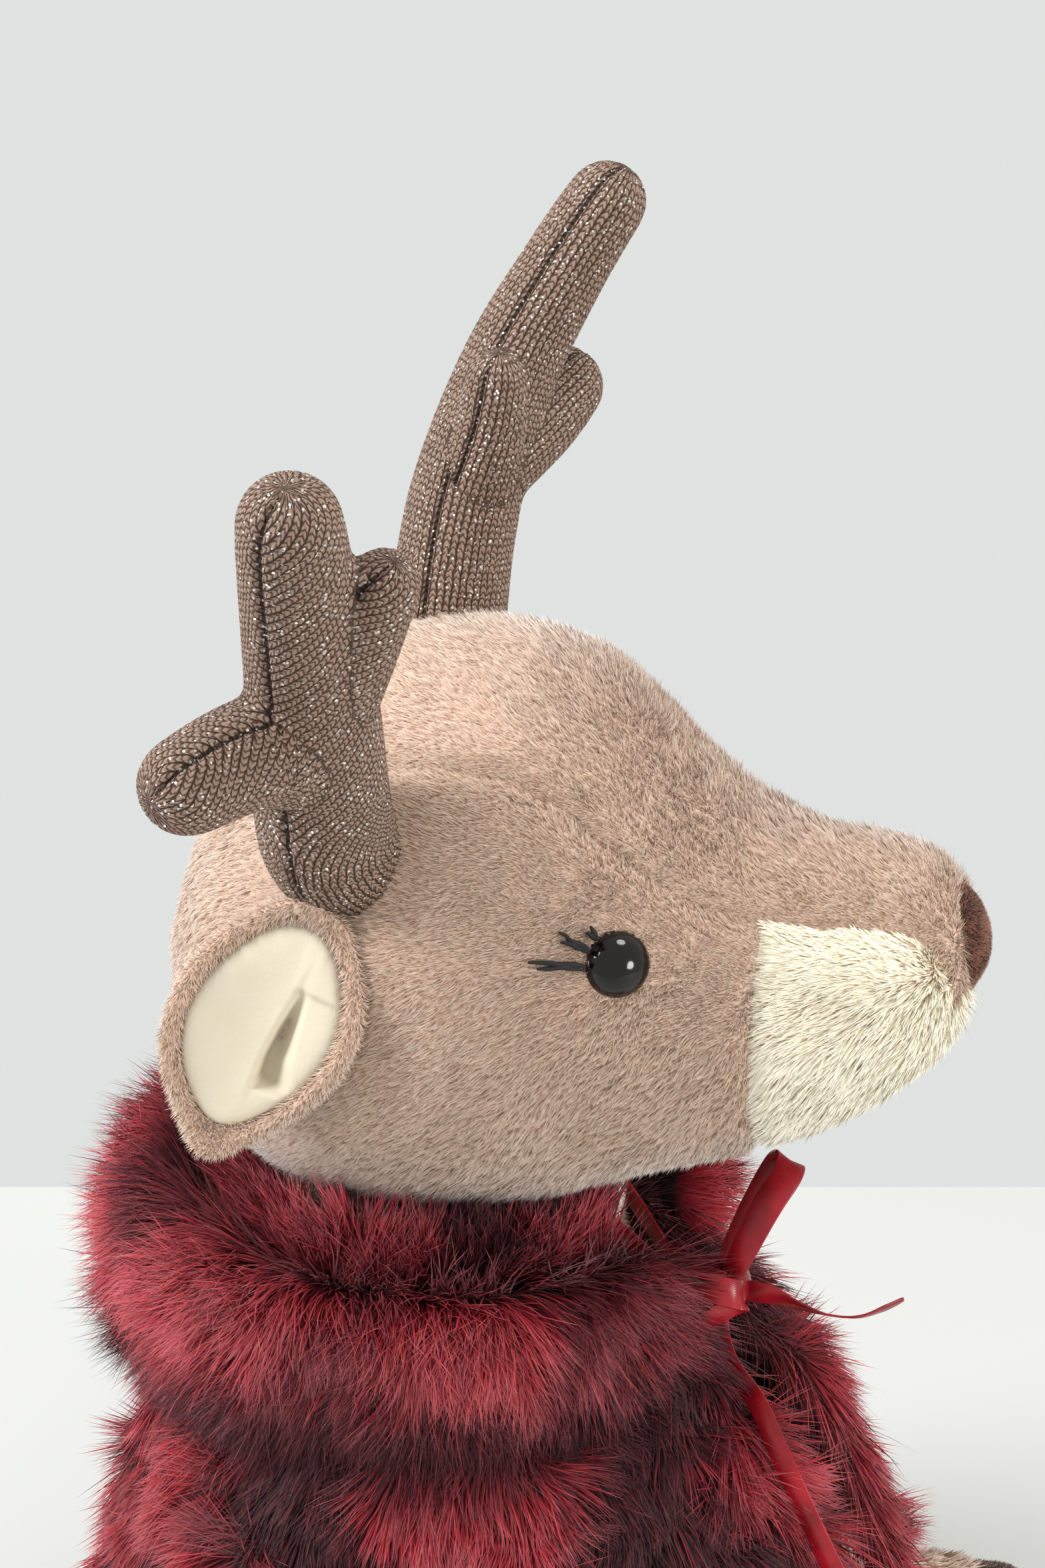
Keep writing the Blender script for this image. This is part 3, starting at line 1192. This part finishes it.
def make_collar():
    roll = welded("collar_roll", "cape_collar", 0.0015, 8)
    co, no = mesh_points(roll)
    out = unit(co * [1, 1, 0])
    co -= no * 0.0055 * ease((no * out).sum(1), -0.4, 0.3)[:, None]
    set_points(roll, co)
    dress(roll, cape_ground, "torso", "cape_fur", "cape_collar", fill=0.6)
    place, normal, out = places_outside(roll, -0.35)
    up = normal[:, 2]
    low = np.maximum(ease(up, 0.1, -0.4), ease(place[:, 2], 0.181, 0.172))
    top = ease(up, 0.6, 0.95)
    rise = ease(place[:, 2], 0.178, 0.192)[:, None]
    comb = out * (0.9 + 0.2 * rise) + np.array([0, 0, -1.0]) * (1.0 - 0.7 * rise)
    comb = comb + 0.5 * swirl(place, 0.03, 101) + 0.25 * swirl(place, 0.010, 105)
    comb = across_surface(comb, normal)
    patches = fur_patches(place, 0.045, 111)
    red = (0.35 + 0.75 * patches) * (1 - 0.95 * low) * (1 - 0.4 * top)
    length = 0.0165 * (0.8 + 0.4 * rng.random(len(place))) * (1 + 0.15 * low)
    long_fur("collar_pile", place, normal, comb, length, 0.00042, 3, fur_tint(red, 0.18),
             stray=0.28, curl=0.08, clump=(70, 0.42), upright=0.25)

    frill = welded("frill_cloth", "collar_frill", 0.0012, 5)
    dress(frill, cape_ground, "torso", "cape_fur", "collar_frill", fill=0.5)
    place, normal, out = places_outside(frill, -0.5, lambda p, n: (p[:, 2] > 0.188).astype(float))
    comb = out * 0.15 + np.array([0, 0, 1.3]) + 0.4 * swirl(place, 0.02, 121)
    red = fur_patches(place, 0.03, 131) * 0.75
    length = 0.0180 * (0.75 + 0.4 * rng.random(len(place)))
    long_fur("frill_pile", place, normal, comb, length, 0.0005, 3, fur_tint(red, 0.2),
             stray=0.28, curl=0.06, clump=(60, 0.4), upright=0.3)


# ribbon
KNOT = np.array([-0.012, -0.079, 0.181])
RIBBON_WIDTH, RIBBON_THICKNESS = 0.006, 0.0005
BAND_DEPTH, BAND_DROP = 0.009, 0.008  # how far the band sinks in and down
# Each strip: places right, up and out from the knot in mm, the way its width lies, and its width's shares
LOOP_UP = ([(-2, 1, 2), (2, 10, 3.5), (7, 19.5, 4), (11.5, 26, 2.5), (12.5, 29, -0.5), (10, 27.5, -4),
            (5, 19, -5), (0, 9, -4), (-3, 1, -2)],
           [(0.85, -0.5, 0.3)] * 9, [0.8, 1.1, 1.2, 1.2, 1.2, 1.2, 1.1, 1, 0.8])
LOOP_SIDE = ([(-15, 2.5, 4), (-10, 1.6, 9), (-5, 0.6, 11), (-1.2, -0.4, 10.5), (0.6, -1.4, 8),
              (-1.2, -3.4, 6), (-5, -6, 6), (-9, -8.2, 5), (-13, -9.5, 2)],
             [(0, 1, 0.1), (0, 1, 0.1), (0, 1, 0), (0, 1, 0), (-0.1, 0.95, 0.2), (-0.2, 0.85, 0.4)]
             + [(-0.2, 0.75, 0.6)] * 3, [1, 1.1, 1.15, 1.15, 1.15, 1.15, 1.1, 1, 1])
TAIL_SIDE = ([(0, -1, 1), (7, -1.5, 3.5), (14, -4, 5), (21, -6, 6), (28, -6.4, 6), (34, -4.5, 5.5),
              (38.5, -2.5, 5)],
             [(0, 1, 0.1), (0, 0.85, 0.5), (0, 0.45, 0.9), (0, 0.15, 1), (0, 0.25, 1), (0, 0.4, 0.9),
              (0, 0.5, 0.85)], [0.8, 1, 1, 1, 1, 0.9, 0.35])
TAIL_DOWN = ([(-3, -3, -4), (-3, -12, -13), (-1, -20, -8), (4.5, -27, 3), (9.5, -38, 9), (15, -50, 10),
              (20.5, -62, 8.5), (27, -75, 6), (33, -88, 2.5)],
             [(0.9, 0.4, 0.3)] * 5 + [(0.9, 0.4, 0.5)] * 4, [0.6, 0.7, 0.75, 0.8, 0.85, 0.9, 0.95, 1, 1])


def ribbon_strip(name, route, node):
    """A thin satin strip along a route, with its edges turned as given."""
    places, ways, shares = route
    frame_of = np.array([view_right, view_back.cross(view_right), view_back])
    line, share = smooth_route([KNOT + np.array(p) * MM @ frame_of for p in places], list(shares), 9)
    way = unit(smooth_route([np.array(w, float) @ frame_of for w in ways], list(shares), 9)[0])
    tangent = unit(np.gradient(line, axis=0))
    way = unit(across_surface(way, tangent))
    face = np.cross(tangent, way)
    half = (share * RIBBON_WIDTH / 2)[:, None]
    thick = RIBBON_THICKNESS / 2
    across = [(-1, 0), (-0.92, 1), (0, 1.15), (0.92, 1), (1, 0), (0.92, -1), (0, -1.15), (-0.92, -1)]
    rows = [line + way * half * a + face * thick * b for a, b in across]
    ob = ring_object(name, np.stack(rows, 1).reshape(-1, 3), len(across))
    return dress(ob, satin, "torso", "satin_ribbon", node)


def crisp_copy(node):
    """A CAD strip's own shape, smoothed along its length with its edges kept sharp."""
    ob = welded(node + "_satin", node)
    bm = bmesh.new()
    bm.from_mesh(ob.data)
    crease = bm.edges.layers.float.new("crease_edge")
    for edge in bm.edges:
        if len(edge.link_faces) == 2 and edge.calc_face_angle() > radians(40):
            edge[crease] = 0.9
    bm.to_mesh(ob.data)
    bm.free()
    mod = ob.modifiers.new("fine", "SUBSURF")
    mod.levels = mod.render_levels = 2
    apply(ob)
    return dress(ob, satin, "torso", "satin_ribbon", node)


def make_ribbon():
    """The band sinks into the fur round the neck, and comes out at the knot."""
    band = crisp_copy("ribbon_band")
    co, _ = mesh_points(band)
    inward = unit((NECK_AXIS - co) * [1, 1, 0])
    sunk = ease(np.linalg.norm(co - KNOT, axis=1), 0.005, 0.016)
    co += inward * (BAND_DEPTH * sunk)[:, None]
    co[:, 2] -= BAND_DROP * sunk
    set_points(band, co)
    crisp_copy("ribbon_knot")
    ribbon_strip("bow_loop_up", LOOP_UP, "ribbon_loop_up")
    ribbon_strip("bow_loop_side", LOOP_SIDE, "ribbon_loop_side")
    ribbon_strip("bow_tail_side", TAIL_SIDE, "ribbon_tail_side")
    ribbon_strip("bow_tail_down", TAIL_DOWN, "ribbon_tail_down")


def carry():
    """CAD nodes whose shapes stay get their own finishes."""
    for _, word in BOTH:
        repaint("eye_washer_" + word, washer_plastic)


def repaint(name, material):
    nodes[name].data.materials.clear()
    nodes[name].data.materials.append(material)


head = make_head()
make_head_fur(head)
make_nose()
for side, word in BOTH:
    make_eye(side, word)
    make_lashes(side, word)
    make_ear(side, word)
    make_antler(word)
make_torso()
make_limbs()
make_cape()
make_collar()
make_ribbon()
carry()

bpy.context.view_layer.update()
